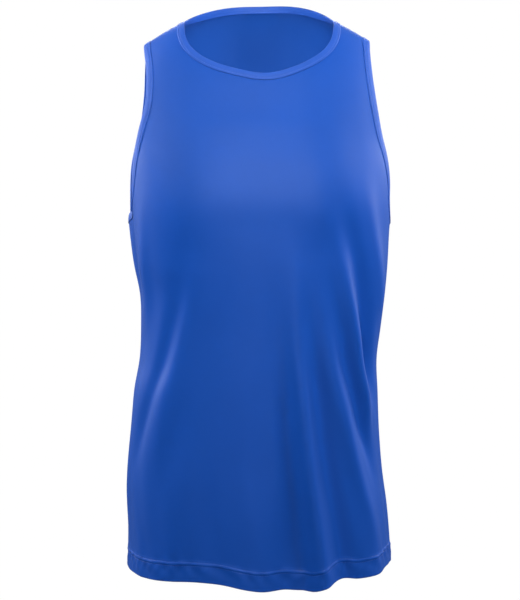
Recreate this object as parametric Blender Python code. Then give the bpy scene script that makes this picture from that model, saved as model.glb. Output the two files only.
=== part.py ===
# A sleeveless sports top: front, back, neck binding and two armhole bindings.
# The cloth is held out in its worn shape, hollow inside, with neck, armholes and hem open.
# Frame: metres, +Z up, the front faces -Y, the wearer's right side lies at -X.
# The origin lies midway between the straps, level with the shoulder points at the neck.

from collections import namedtuple
from math import pi, radians

import bmesh
import bpy
import numpy as np

MM = 0.001

# Cloth
SEAM_GAP = 0.3 * MM
CLOTH = 1.4 * MM
HEM_CLOTH = 2.6 * MM
HEM_HEIGHT = 25 * MM
STITCH_GROOVE = 0.4 * MM
STITCH_WIDTH = 1.5 * MM

# Bindings, folded double over the cut edges
NECK_BINDING_WIDTH = 8.2 * MM
ARMHOLE_BINDING_WIDTH = 9.2 * MM
BINDING_THICKNESS = 2.5 * MM
BINDING_ROUNDNESS = 0.5

# The neck binding leans back behind the neck, fully at this distance behind the shoulders.
# The armhole bindings lean in under the arm, below the start and fully after the run.
NECK_BINDING_LEAN = radians(40)
NECK_LEAN_DEPTH = 55 * MM
UNDERARM_LEAN = radians(10)
UNDERARM_LEAN_START = 150 * MM
UNDERARM_LEAN_RUN = 80 * MM

# Torso form under the cloth: how square its level sections are
SECTION_POWER = 2.35
ROLL_HEIGHT = 140 * MM
ROLL_SOFTNESS = 0.2

# Line of the shoulders from the front: crest over the neck, falling to the strap tips
CREST_HEIGHT = 25 * MM
CREST_FALL = 48.5 * MM
CREST_REACH = 143 * MM
CREST_POWER = 2.1
CREST_SHIFT = 1.5 * MM
NAPE_LIFT = 35.5 * MM
NAPE_REACH = 98 * MM
NAPE_POWER = 2.6
NAPE_SHIFT = 5.5 * MM
NAPE_DEPTH = 75 * MM

# Neck opening, measured to the seam of its binding
NECK_HALF_WIDTH = 101.5 * MM
NECK_SHIFT = 0.5 * MM
FRONT_NECK_DROP = 68 * MM
FRONT_NECK_FULLNESS = 0.8
FRONT_NECK_DIP = 5 * MM
FRONT_NECK_DIP_REACH = 36 * MM
FRONT_NECK_DIP_SHIFT = 13 * MM
BACK_NECK_DROP = 34.5 * MM
BACK_NECK_POWER = 1.1

# How much a fold that stands out also lowers the hem
HEM_SWING = 0.35

# Shares of a fold's run at which it has fully grown and at which it begins to fade
FOLD_GROWN = 0.65
FOLD_FADES = 0.7

# Mesh of a panel
STRAP_COLUMNS = 4
NECK_COLUMNS = 36
BODY_ROWS = 14
ARMHOLE_ROWS = 20
BINDING_SIDES = 8
STITCH_ROW = 3
EDGE_BLEND = 3
FINE_STEPS = 240
SETTLING_ROUNDS = 240
FINE_TURN = radians(0.1)
FINE_DROP = 0.02 * MM
CREASE_ANGLE = radians(50)

CLOTH_COLOUR = (0.035, 0.135, 0.58, 1.0)
BINDING_COLOUR = (0.045, 0.16, 0.64, 1.0)
CLOTH_ROUGHNESS = 0.62

# Sections of the torso form: half widths on the wearer's right and left, depths ahead
# and behind, at each drop below the origin. Millimetres.
TORSO_COLUMNS = ("drop", "right", "left", "front", "back")
TORSO_ROWS = (
    (0, 172, 170, 97, 105),
    (30, 172, 170, 97, 97),
    (60, 171, 170, 96, 93),
    (100, 170, 170, 98, 95),
    (140, 169, 169, 106, 104),
    (180, 168, 170, 116, 109),
    (220, 166, 168.5, 122, 109),
    (260, 163, 165.5, 122, 107),
    (300, 158, 163.5, 121, 104),
    (340, 150, 160, 119, 101),
    (380, 149, 155, 117, 98),
    (420, 151, 150, 116, 96),
    (460, 158, 151, 115, 97),
    (510, 162, 152, 114, 100),
    (560, 165, 155, 113, 104),
    (610, 166, 161, 112, 108),
    (660, 166, 165, 111, 111),
    (720, 169, 169, 111, 113),
)

# Armhole seam from the underarm to the strap tip. The drop is in millimetres, and the
# turn, in degrees, is how far round the body the seam lies from the centre line.
ARMHOLE_COLUMNS = ("drop", "front_right", "front_left", "back_right", "back_left")
ARMHOLE_SEAM_ROWS = (
    (250, 90, 90, 90, 90),
    (247, 82, 82, 83, 83),
    (239, 73, 75, 78, 78),
    (222, 66.5, 70, 75, 75.5),
    (200, 62.5, 67.5, 72, 73),
    (170, 58.5, 62, 67.5, 68),
    (140, 53.5, 56, 61.5, 61.5),
    (105, 48, 51.5, 55, 56),
    (70, 46.5, 49.2, 51.5, 53),
    (40, 46.8, 47.9, 50, 50.2),
    (18, 48, 47.3, 49.2, 48.3),
    (5, 48.8, 47.5, 49, 47.7),
    (0, 49, 47.5, 49, 47.5),
)

# Edge of the hem round the body: drop in millimetres at turns in degrees.
HEM_COLUMNS = ("turn", "drop")
HEM_ROWS = (
    (-180, 680),
    (-120, 680),
    (-90, 682),
    (-70, 686),
    (-52, 690),
    (-30, 688),
    (-15, 691),
    (-6, 695),
    (2, 698),
    (10, 697.5),
    (18, 700),
    (22.5, 699.5),
    (26.5, 692),
    (30.5, 689.5),
    (40, 690),
    (60, 684),
    (90, 679),
    (130, 679),
    (180, 680),
)

# Folds: each runs from an upper to a lower place. Drops and heights are in millimetres;
# turns are degrees round the body from the centre front, positive to the wearer's left,
# and half_turn is a fold's half width. A height below zero is a trough, and keep is the
# share of the height that is left at the lower end.
FOLD_COLUMNS = ("name", "top_drop", "top_turn", "low_drop", "low_turn", "half_turn", "height", "keep")
FOLD_ROWS = (
    ("right chest ridge", 215, -18.5, 600, -54.5, 6, 5, 0),
    ("right chest inner trough", 225, -9, 600, -44, 8, -2, 0),
    ("right chest outer trough", 225, -23.5, 580, -69, 5, -8.5, 0),
    ("right breast crown", 90, -27, 300, -31, 14, 3, 0),
    ("left breast crown", 90, 27, 290, 31, 13, 4.5, 0),
    ("right side crest", 200, -55, 400, -66, 5, 4, 0),
    ("right side valley", 150, -72, 355, -76, 5, -5.5, 0),
    ("right hip ridge", 430, -72, 640, -80, 6, 3, 0.2),
    ("right hem ridge", 500, -33, 700, -37, 9, 3, 1),
    ("centre hem ridge", 520, -4, 700, -3, 9, 3.5, 1),
    ("centre hem trough", 560, 11, 700, 13, 5, -3.5, 1),
    ("centre ridge", 240, 13.4, 700, 27.4, 4.6, 12.5, 1),
    ("centre ridge inner trough", 290, 6.5, 700, 19.5, 4.5, -5, 0.9),
    ("centre ridge outer trough", 290, 20, 700, 39.5, 4.8, -8, 1),
    ("middle ridge", 265, 19, 660, 59, 5, 7, 0.2),
    ("middle trough", 265, 24, 590, 65.5, 4.5, -7, 0),
    ("left chest ridge", 225, 30, 540, 63.5, 5, 8.5, 0),
    ("left chest trough", 180, 29, 500, 72, 5.5, -11, 0),
    ("left side crest", 170, 43, 400, 75, 5.5, 5, 0),
    ("left hem ridge", 560, 55, 700, 56, 7, 3, 1),
    ("left side ridge", 430, 84, 700, 90, 7, 3, 1),
    ("left back trough", 350, 104, 700, 110, 7, -4, 1),
    ("left back ridge", 330, 118, 700, 126, 6, 5, 1),
    ("left blade ridge", 150, 138, 430, 151, 7, 3.5, 0),
    ("left blade trough", 260, 140, 700, 142, 6, -4.5, 1),
    ("back centre left ridge", 300, 158, 700, 160, 7, 5, 1),
    ("back waist hollow", 270, 180, 610, 180, 15, -4.5, 0.2),
    ("right blade ridge", 150, -140, 430, -154, 7, 3.5, 0),
    ("back centre right ridge", 330, -164, 700, -167, 6, 4.5, 1),
    ("right blade trough", 300, -148, 700, -151, 6, -5, 1),
    ("right back ridge", 300, -130, 700, -134, 6, 5.5, 1),
    ("right back trough", 380, -113, 700, -118, 7, -4, 1),
)

# The two faces of the garment: the side of the frame, the torso column of the depth,
# how round the shoulder rolls, how far down the shoulder line is felt, and the nape.
Face = namedtuple("Face", "sign depth roll_power crest_fade nape right left")
FRONT = Face(-1, "front", 1.7, 120 * MM, 0.0, "front_right", "front_left")
BACK = Face(1, "back", 2.0, 250 * MM, NAPE_LIFT, "back_right", "back_left")


def read_table(columns, rows):
    return {name: np.array([row[i] for row in rows]) for i, name in enumerate(columns)}


TORSO = read_table(TORSO_COLUMNS, TORSO_ROWS)
ARMHOLE = read_table(ARMHOLE_COLUMNS, ARMHOLE_SEAM_ROWS)
HEM = read_table(HEM_COLUMNS, HEM_ROWS)
FOLDS = read_table(FOLD_COLUMNS, FOLD_ROWS)


def smooth_curve(places, values, at):
    # A smooth curve through the values at their places, read at the given places.
    slopes = np.gradient(values, places)
    i = np.clip(np.searchsorted(places, at) - 1, 0, len(places) - 2)
    step = places[i + 1] - places[i]
    t = np.clip((at - places[i]) / step, 0, 1)
    rise = values[i] * (1 + 2 * t) * (1 - t) ** 2 + values[i + 1] * t * t * (3 - 2 * t)
    return rise + step * t * (1 - t) * (slopes[i] * (1 - t) - slopes[i + 1] * t)


def torso(column, drop):
    return MM * smooth_curve(MM * TORSO["drop"], TORSO[column], drop)


def ease(t):
    t = np.clip(t, 0, 1)
    return t * t * (3 - 2 * t)


def crest(x):
    # Height of the shoulder line over the origin.
    away = np.abs(x - CREST_SHIFT) / CREST_REACH
    return CREST_HEIGHT - CREST_FALL * away ** CREST_POWER


def lift(face, x, drop):
    # How far the shoulder line and the nape raise the cloth at a drop.
    fade = np.clip(1 - (drop / face.crest_fade) ** 2, 0, 1) ** 2
    behind = ease(depth_at(face, drop) / NAPE_DEPTH)
    across = np.exp(-(np.abs(x - NAPE_SHIFT) / NAPE_REACH) ** NAPE_POWER)
    return fade * (crest(x) + face.nape * behind * across)


def soft_ramp(t):
    # Rises with t, and fades out gently below zero.
    return (t + np.hypot(t, ROLL_SOFTNESS)) / 2


def depth_at(face, drop):
    # Distance of the cloth ahead of or behind the shoulder line, which rolls over at the top.
    below = np.clip(soft_ramp(1 - drop / ROLL_HEIGHT) / soft_ramp(1), 0, 1) ** face.roll_power
    return torso(face.depth, drop) * (1 - below) ** (1 / face.roll_power)


def round_body(face, turn):
    # Turn measured round the whole body from the centre front.
    return turn if face is FRONT else np.where(turn < 0, -pi - turn, pi - turn)


def fold_height(around, drop):
    # Sum of the folds at a place on the cloth.
    total = np.zeros(np.broadcast(around, drop).shape)
    for i in range(len(FOLDS["name"])):
        top, low = MM * FOLDS["top_drop"][i], MM * FOLDS["low_drop"][i]
        run = np.clip((drop - top) / (low - top), 0, 1)
        centre = FOLDS["top_turn"][i] + (FOLDS["low_turn"][i] - FOLDS["top_turn"][i]) * run
        away = (np.degrees(around) - centre + 180) % 360 - 180
        fading = ease((run - FOLD_FADES) / (1 - FOLD_FADES))
        strength = ease(run / FOLD_GROWN) * (1 - (1 - FOLDS["keep"][i]) * fading)
        total += MM * FOLDS["height"][i] * strength * np.exp(-((away / FOLDS["half_turn"][i]) ** 2))
    return total


def unit(vectors):
    return vectors / np.linalg.norm(vectors, axis=-1, keepdims=True)


def cloth_points(face, turn, drop, raised=0.0):
    # Places on the outer surface of the cloth, with its folds, for turns and drops.
    half_width = np.where(turn < 0, torso("right", drop), torso("left", drop))
    depth = depth_at(face, drop)
    across, ahead = np.abs(np.sin(turn)), np.abs(np.cos(turn))
    reach = (across ** SECTION_POWER + ahead ** SECTION_POWER) ** (-1 / SECTION_POWER)
    across, ahead = across * reach, ahead * reach
    side = np.sign(turn)
    x = side * half_width * across
    y = face.sign * (SEAM_GAP / 2 + depth * ahead)
    z = lift(face, x, drop) - drop
    out_x = side * across ** (SECTION_POWER - 1) / half_width
    out_y = face.sign * ahead ** (SECTION_POWER - 1) / np.maximum(depth, CLOTH)
    height = (fold_height(round_body(face, turn), drop) + raised) / np.hypot(out_x, out_y)
    return np.stack([x + height * out_x, y + height * out_y, z], axis=-1)


def outward_normals(face, turn, drop):
    # Directions straight out of the cloth.
    across = cloth_points(face, np.minimum(turn + FINE_TURN, pi / 2), drop)
    across -= cloth_points(face, np.maximum(turn - FINE_TURN, -pi / 2), drop)
    down = cloth_points(face, turn, drop + FINE_DROP)
    down -= cloth_points(face, turn, np.maximum(drop - FINE_DROP, 0))
    return unit(face.sign * np.cross(across, down))


def even_steps(face, turn, drop, count):
    # The same line on the cloth with its points an even distance apart.
    points = cloth_points(face, turn, drop)
    lengths = np.linalg.norm(np.diff(points, axis=0), axis=1)
    along = np.concatenate([[0], np.cumsum(lengths)])
    wanted = np.linspace(0, along[-1], count + 1)
    return np.interp(wanted, along, turn), np.interp(wanted, along, drop)


def turn_of(x, drop):
    # Turn at which a section of the torso form reaches a place to its side.
    half_width = np.where(x < 0, torso("right", drop), torso("left", drop))
    across = np.minimum(np.abs(x) / half_width, 1)
    ahead = (1 - across ** SECTION_POWER) ** (1 / SECTION_POWER)
    return np.sign(x) * np.arctan2(across, ahead)


def neckline(face, count):
    # Neck seam from the wearer's right shoulder to the left one.
    swing = np.linspace(0, pi, FINE_STEPS + 1)
    x = NECK_SHIFT - NECK_HALF_WIDTH * np.cos(swing)
    if face is FRONT:
        ends = crest(x[0]) + (crest(x[-1]) - crest(x[0])) * swing / pi
        dip = np.exp(-(((x - FRONT_NECK_DIP_SHIFT) / FRONT_NECK_DIP_REACH) ** 2))
        bowl = (FRONT_NECK_DROP + ends) * np.abs(np.sin(swing)) ** FRONT_NECK_FULLNESS
        level = ends - bowl - FRONT_NECK_DIP * dip
        drop = np.zeros_like(x)
        for _ in range(SETTLING_ROUNDS):
            drop = np.maximum(lift(face, x, drop) - level, 0)
    else:
        drop = BACK_NECK_DROP * np.sin(swing) ** (2 * BACK_NECK_POWER)
    return even_steps(face, turn_of(x, drop), drop, count)


def armhole(face, column, side, count):
    # Armhole seam from the underarm to the strap tip.
    rows = np.arange(len(ARMHOLE["drop"]), dtype=float)
    fine = np.linspace(0, rows[-1], FINE_STEPS + 1)
    drop = np.maximum(MM * smooth_curve(rows, ARMHOLE["drop"], fine), 0)
    turn = side * np.radians(smooth_curve(rows, ARMHOLE[column], fine))
    return even_steps(face, turn, drop, count)


def hem_drop(face, turn):
    # Drop of the hem's edge, which is a little lower on each ridge.
    around = round_body(face, turn)
    edge = MM * smooth_curve(HEM["turn"], HEM["drop"], np.degrees(around))
    return edge + HEM_SWING * fold_height(around, edge)


def cloth_length(face):
    # Distance along the cloth from the shoulder line to a drop, as two matching lists.
    drop = MM * TORSO["drop"][-1] * np.linspace(0, 1, FINE_STEPS + 1) ** 2
    steps = np.hypot(np.diff(drop), np.diff(depth_at(face, drop)))
    return drop, np.concatenate([[0], np.cumsum(steps)])


def panel_edges(face):
    # Rows of the two side edges, and columns of the top edge, as turns and drops.
    sides = []
    for column, side in ((face.right, -1), (face.left, 1)):
        arm_turn, arm_drop = armhole(face, column, side, ARMHOLE_ROWS)
        hem_top = hem_drop(face, side * pi / 2) - HEM_HEIGHT - STITCH_WIDTH
        seam_drop = np.linspace(hem_top, arm_drop[0], BODY_ROWS + 1)[:-1]
        seam_turn = np.full(BODY_ROWS, side * pi / 2)
        sides.append((np.concatenate([seam_turn, arm_turn]), np.concatenate([seam_drop, arm_drop])))
    neck_turn, neck_drop = neckline(face, NECK_COLUMNS)
    right_tip, left_tip = sides[0][0][-1], sides[1][0][-1]
    right_strap = np.linspace(right_tip, neck_turn[0], STRAP_COLUMNS + 1)[:-1]
    left_strap = np.linspace(neck_turn[-1], left_tip, STRAP_COLUMNS + 1)[1:]
    top_turn = np.concatenate([right_strap, neck_turn, left_strap])
    shoulder = np.zeros(STRAP_COLUMNS)
    top_drop = np.concatenate([shoulder, neck_drop, shoulder])
    return sides, top_turn, top_drop


def panel_grid(face):
    # Turns and drops of a whole panel, rows from the hem up, columns from right to left.
    sides, top_turn, top_drop = panel_edges(face)
    (right_turn, right_drop), (left_turn, left_drop) = sides
    across = np.linspace(-1, 1, len(top_turn))
    drops, lengths = cloth_length(face)

    def length_at(drop):
        return np.interp(drop, drops, lengths)

    rows = BODY_ROWS + ARMHOLE_ROWS
    underarm = length_at(right_drop[BODY_ROWS])
    body_turn = across * pi / 2
    hem_edge = hem_drop(face, body_turn)
    hem_rows = (0, HEM_HEIGHT / 2, HEM_HEIGHT - STITCH_WIDTH, HEM_HEIGHT)
    panel_turns = [body_turn] * len(hem_rows)
    panel_drops = [hem_edge - up for up in hem_rows]
    start = length_at(hem_edge - HEM_HEIGHT - STITCH_WIDTH)
    end = length_at(top_drop)
    edge_start = length_at(right_drop[0])
    for row in range(rows + 1):
        middle = min(row / BODY_ROWS, 1) * (edge_start - underarm) / edge_start
        middle += max(row - BODY_ROWS, 0) / ARMHOLE_ROWS * underarm / edge_start
        right_share = 1 - length_at(right_drop[row]) / edge_start
        left_share = 1 - length_at(left_drop[row]) / length_at(left_drop[0])
        edge_share = np.where(across < 0, right_share, left_share)
        share = middle + (edge_share - middle) * np.abs(across) ** EDGE_BLEND
        top_share = top_turn / np.where(across < 0, -top_turn[0], top_turn[-1])
        spread = across + (top_share - across) * middle ** EDGE_BLEND
        panel_turns.append(spread * np.where(across < 0, -right_turn[row], left_turn[row]))
        panel_drops.append(np.interp(start + (end - start) * share, lengths, drops))
    turns, drops = np.array(panel_turns), np.array(panel_drops)
    body = slice(len(hem_rows), None)
    turns[body, 0], turns[body, -1] = right_turn, left_turn
    drops[body, 0], drops[body, -1] = right_drop, left_drop
    turns[-1], drops[-1] = top_turn, top_drop
    return turns, drops


def collection_for(name):
    collection = bpy.data.collections.new(name)
    bpy.context.scene.collection.children.link(collection)
    return collection


def cloth_material(name, colour):
    material = bpy.data.materials.new(name)
    material.use_nodes = True
    shader = material.node_tree.nodes["Principled BSDF"]
    shader.inputs["Base Color"].default_value = colour
    shader.inputs["Roughness"].default_value = CLOTH_ROUGHNESS
    shader.inputs["Metallic"].default_value = 0.0
    return material


def finish_object(name, collection, colour):
    piece = bpy.context.active_object
    piece.name = name
    piece.data.name = name
    piece.data.materials.append(cloth_material(name + "_cloth", colour))
    for owner in piece.users_collection:
        owner.objects.unlink(piece)
    collection.objects.link(piece)
    return piece


def make_panel(name, face, collection):
    # One panel: a grid laid on the form, extruded inwards by the thickness of its cloth.
    turns, drops = panel_grid(face)
    rows, columns = turns.shape
    groove = np.zeros((rows, 1))
    groove[STITCH_ROW] = -STITCH_GROOVE
    thickness = np.full((rows, 1, 1), CLOTH)
    thickness[:STITCH_ROW] = HEM_CLOTH
    normals = outward_normals(face, turns, drops)
    outer = cloth_points(face, turns, drops, groove)
    inner = outer - normals * thickness
    bpy.ops.mesh.primitive_grid_add(x_subdivisions=columns - 1, y_subdivisions=rows - 1)
    panel = finish_object(name, collection, CLOTH_COLOUR)
    mesh = bmesh.new()
    mesh.from_mesh(panel.data)
    place = mesh.verts.layers.int.new("place")
    for i, vert in enumerate(mesh.verts):
        vert[place] = i
        vert.co = outer.reshape(-1, 3)[i]
    walls = bmesh.ops.extrude_face_region(mesh, geom=mesh.faces[:])
    for vert in walls["geom"]:
        if isinstance(vert, bmesh.types.BMVert):
            vert.co = inner.reshape(-1, 3)[vert[place]]
    bmesh.ops.recalc_face_normals(mesh, faces=mesh.faces[:])
    mesh.to_mesh(panel.data)
    mesh.free()
    panel.data.shade_smooth()
    panel.data.set_sharp_from_angle(angle=CREASE_ANGLE)
    return outer, normals


def edge_frames(points, normals, rows, columns, inner_rows, inner_columns):
    # Along an edge of a panel: its points, their outward normals, and the way off the cloth.
    line = points[rows, columns]
    return line, normals[rows, columns], line - points[inner_rows, inner_columns]


def join_edges(front, back):
    # One closed loop from a front edge and a back edge whose ends meet at two seams.
    joined = []
    for ahead, behind in zip(front, back):
        start, end = (ahead[0] + behind[-1]) / 2, (ahead[-1] + behind[0]) / 2
        joined.append(np.concatenate([[start], ahead[1:-1], [end], behind[1:-1]]))
    return joined


def make_binding(name, width, lean, loop, collection):
    # A folded strip that follows a loop of edge points, just off the edge.
    points, normals, off = loop
    along = unit(np.roll(points, -1, axis=0) - np.roll(points, 1, axis=0))
    normals = unit(normals - along * np.sum(normals * along, axis=1, keepdims=True))
    upright = np.cross(normals, along)
    upright *= np.sign(np.sum(upright * off))
    tilt = lean * ease(points[:, 1:2] / NECK_LEAN_DEPTH)
    tilt -= UNDERARM_LEAN * ease((-points[:, 2:] - UNDERARM_LEAN_START) / UNDERARM_LEAN_RUN)
    off = upright * np.cos(tilt) + normals * np.sin(tilt)
    normals = normals * np.cos(tilt) - upright * np.sin(tilt)
    count = len(points)
    swing = 2 * pi * (np.arange(BINDING_SIDES) + 0.5) / BINDING_SIDES
    if np.sum(np.cross(off, normals) * along) > 0:
        swing = -swing
    rounded_cos = np.sign(np.cos(swing)) * np.abs(np.cos(swing)) ** BINDING_ROUNDNESS
    rounded_sin = np.sign(np.sin(swing)) * np.abs(np.sin(swing)) ** BINDING_ROUNDNESS
    reach = SEAM_GAP + width / 2 * (1 + rounded_cos / rounded_cos.max())
    height = -CLOTH / 2 + BINDING_THICKNESS / 2 * rounded_sin / rounded_sin.max()
    ring = points[:, None] + off[:, None] * reach[:, None] + normals[:, None] * height[:, None]
    bpy.ops.mesh.primitive_torus_add(major_segments=count, minor_segments=BINDING_SIDES)
    binding = finish_object(name, collection, BINDING_COLOUR)
    binding.data.vertices.foreach_set("co", ring.astype(np.float32).ravel())
    binding.data.update()
    binding.data.shade_smooth()


def make_garment():
    collection = collection_for("boxing_tank_top")
    grids = {}
    for name, face in (("front_panel", FRONT), ("back_panel", BACK)):
        grids[name] = make_panel(name, face, collection)
    necks, rights, lefts = [], [], []
    neck = STRAP_COLUMNS + np.arange(NECK_COLUMNS + 1)
    beside_neck = neck + np.sign(neck - STRAP_COLUMNS - NECK_COLUMNS / 2).astype(int)
    arm = np.arange(-(ARMHOLE_ROWS + 1), 0)
    for points, normals in grids.values():
        necks.append(edge_frames(points, normals, -1, neck, -2, beside_neck))
        rights.append(edge_frames(points, normals, arm, 0, arm - 1, 1))
        lefts.append(edge_frames(points, normals, arm, -1, arm - 1, -2))
    for name, width, lean, (front, back) in (
        ("neck_binding", NECK_BINDING_WIDTH, NECK_BINDING_LEAN, necks),
        ("armhole_binding_right", ARMHOLE_BINDING_WIDTH, 0.0, rights),
        ("armhole_binding_left", ARMHOLE_BINDING_WIDTH, 0.0, lefts),
    ):
        turned_back = [values[::-1] for values in back]
        make_binding(name, width, lean, join_edges(front, turned_back), collection)


for old in list(bpy.data.objects):
    bpy.data.objects.remove(old, do_unlink=True)
make_garment()
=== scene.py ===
from collections import namedtuple
from math import pi, radians

import bmesh
import bpy
import numpy as np
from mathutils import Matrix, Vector


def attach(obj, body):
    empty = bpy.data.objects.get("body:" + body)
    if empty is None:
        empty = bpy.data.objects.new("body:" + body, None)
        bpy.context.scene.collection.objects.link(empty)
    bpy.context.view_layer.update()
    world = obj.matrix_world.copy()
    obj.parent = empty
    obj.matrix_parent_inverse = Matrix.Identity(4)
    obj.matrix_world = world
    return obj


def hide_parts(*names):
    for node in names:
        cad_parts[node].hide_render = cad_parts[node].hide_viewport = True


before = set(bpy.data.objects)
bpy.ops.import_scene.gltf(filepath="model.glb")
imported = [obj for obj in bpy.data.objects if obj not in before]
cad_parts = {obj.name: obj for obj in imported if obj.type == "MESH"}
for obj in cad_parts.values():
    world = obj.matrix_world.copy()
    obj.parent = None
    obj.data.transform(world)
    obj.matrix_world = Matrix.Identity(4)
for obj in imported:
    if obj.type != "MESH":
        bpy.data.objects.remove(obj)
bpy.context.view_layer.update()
mm = 0.001

# A sleeveless sports top in light polyester knit. The front faces -Y, the wearer's right is -X.

cameraSetup = dict(place=(0.0019, -2.4, -0.22), target=(0.0019, 0, -0.347), lens=113.4, sensor=36)


def aimAt(thing, target):
    way = Vector(target) - thing.location
    thing.rotation_euler = way.to_track_quat("-Z", "Y").to_euler()


def makeCamera():
    camera = bpy.data.objects.new("camera", bpy.data.cameras.new("camera"))
    camera.data.lens = cameraSetup["lens"]
    camera.data.sensor_fit = "VERTICAL"
    camera.data.sensor_height = cameraSetup["sensor"]
    camera.location = cameraSetup["place"]
    aimAt(camera, cameraSetup["target"])
    bpy.context.scene.collection.objects.link(camera)
    bpy.context.scene.camera = camera


makeCamera()
print("camera is in place")


# Shader maths: a wrapped socket takes part in Python expressions.
class Wire:
    def __init__(self, tree, socket):
        self.tree = tree
        self.socket = socket

    def maths(self, operation, *others):
        return self.tree.node("ShaderNodeMath", dict(operation=operation), self, *others)

    def __add__(self, other):
        return self.maths("ADD", other)

    def __sub__(self, other):
        return self.maths("SUBTRACT", other)

    def __mul__(self, other):
        return self.maths("MULTIPLY", other)

    def __truediv__(self, other):
        return self.maths("DIVIDE", other)

    def __rsub__(self, other):
        return self.maths("MULTIPLY", -1) + other

    def __abs__(self):
        return self.maths("ABSOLUTE")

    __radd__ = __add__
    __rmul__ = __mul__


class Tree:
    def __init__(self, name):
        self.material = bpy.data.materials.new(name)
        self.material.use_nodes = True
        self.nodes = self.material.node_tree.nodes
        self.shader = self.nodes["Principled BSDF"]

    def join(self, socket, value):
        if isinstance(value, Wire):
            self.material.node_tree.links.new(value.socket, socket)
        elif value is not None:
            socket.default_value = value

    def node(self, kind, settings, *values, output=0):
        made = self.nodes.new(kind)
        for key, value in settings.items():
            setattr(made, key, value)
        for i, value in enumerate(values):
            self.join(made.inputs[i], value)
        return Wire(self, made.outputs[output])

    def mix(self, share, first, second):
        made = self.nodes.new("ShaderNodeMix")
        made.data_type = "RGBA"
        self.join(made.inputs["Factor"], share)
        self.join(made.inputs["A"], first)
        self.join(made.inputs["B"], second)
        for socket in made.outputs:
            if socket.type == "RGBA":
                return Wire(self, socket)


knit = dict(
    deep=(0.0028, 0.0475, 0.284, 1), light=(0.0040, 0.0575, 0.338, 1),
    # The inside face is the knit's duller back, and it is also made darker: painted shade for the inside of
    # the garment.
    insideDeep=(0.0050, 0.045, 0.235, 1), insideLight=(0.0085, 0.057, 0.285, 1),
    # The binding is paler than the cloth: painted highlight for the light its rounded fold catches.
    bindingDeep=(0.012, 0.062, 0.315, 1), bindingLight=(0.016, 0.072, 0.375, 1), bindingTurn=radians(90),
    wale=1.05 * mm, course=0.85 * mm, loopLean=0.3, loopFloor=0.55, loopRise=0.9,
    cloudNoise=(14.0, 3.0, 0.5), fleckNoise=(900.0, 2.0, 0.6),  # scale, detail and roughness
    cloudShade=0.7, fleckShade=0.35, loopShade=0.18, fleckRoughness=0.12,
    loopDepth=0.10 * mm, relief=0.5, cloudRelief=1.5,
    roughness=0.5, sheen=0.04, sheenRoughness=0.5, sheenTint=(0.6, 0.75, 1.0, 1),
    specular=0.24, specularTint=(0.76, 0.88, 1.0, 1),
)


def knitMaterial(name, deep, light, waleTurn=0):
    # Plain knit: columns of leaning loops on the cloth's own map, which is in metres.
    tree = Tree(name)
    place = tree.node("ShaderNodeTexCoord", {}, output=2)
    if waleTurn:
        place = tree.node("ShaderNodeMapping", {}, place, None, (0, 0, waleTurn))
    across = tree.node("ShaderNodeSeparateXYZ", {}, place, output=0)
    along = tree.node("ShaderNodeSeparateXYZ", {}, place, output=1)
    column = across / knit["wale"]
    loop = along / knit["course"]
    beside = abs((column.maths("FRACT") - 0.5) * 2)
    lean = (loop + beside * knit["loopLean"]).maths("FRACT")
    bead = (1 - beside * beside) * (knit["loopFloor"] + abs((lean - 0.5) * knit["loopRise"]))
    cloud = tree.node("ShaderNodeTexNoise", {}, place, None, *knit["cloudNoise"])
    fleck = tree.node("ShaderNodeTexNoise", {}, place, None, *knit["fleckNoise"])
    share = 0.5 + (cloud - 0.5) * knit["cloudShade"] + (fleck - 0.5) * knit["fleckShade"]
    # The loops are lighter on their raised middles and darker in the gaps between them: painted shade.
    share = share + (bead - 0.5) * knit["loopShade"]
    tree.join(tree.shader.inputs["Base Color"], tree.mix(share, deep, light))
    tree.join(tree.shader.inputs["Roughness"], knit["roughness"] + (fleck - 0.5) * knit["fleckRoughness"])
    relief = tree.nodes.new("ShaderNodeBump")
    relief.inputs["Strength"].default_value = knit["relief"]
    relief.inputs["Distance"].default_value = knit["loopDepth"]
    tree.join(relief.inputs["Height"], bead + cloud * knit["cloudRelief"])
    tree.join(tree.shader.inputs["Normal"], Wire(tree, relief.outputs[0]))
    tree.shader.inputs["Sheen Weight"].default_value = knit["sheen"]
    tree.shader.inputs["Sheen Roughness"].default_value = knit["sheenRoughness"]
    tree.shader.inputs["Sheen Tint"].default_value = knit["sheenTint"]
    tree.shader.inputs["Specular IOR Level"].default_value = knit["specular"]
    tree.shader.inputs["Specular Tint"].default_value = knit["specularTint"]
    return tree.material


thread = dict(
    deep=(0.006, 0.05, 0.31, 1), light=(0.02, 0.09, 0.45, 1),
    twistWave=(1500.0, 0.4), roughness=0.42, sheen=0.2,  # the wave's scale and bend
)


def threadMaterial():
    # Twisted sewing thread, a shade lighter than the cloth.
    tree = Tree("sewingThread")
    place = tree.node("ShaderNodeTexCoord", {}, output=3)
    bands = dict(bands_direction="DIAGONAL")
    twist = tree.node("ShaderNodeTexWave", bands, place, *thread["twistWave"], output=1)
    tree.join(tree.shader.inputs["Base Color"], tree.mix(twist, thread["deep"], thread["light"]))
    tree.shader.inputs["Roughness"].default_value = thread["roughness"]
    tree.shader.inputs["Sheen Weight"].default_value = thread["sheen"]
    return tree.material


materials = dict(
    cloth=knitMaterial("blueKnit", knit["deep"], knit["light"]),
    clothInside=knitMaterial("blueKnitInside", knit["insideDeep"], knit["insideLight"]),
    # The binding knit is paler than the cloth as a painted highlight.
    binding=knitMaterial("blueBindingKnit", knit["bindingDeep"], knit["bindingLight"], knit["bindingTurn"]),
    thread=threadMaterial(),
)
print("materials are made")


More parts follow.
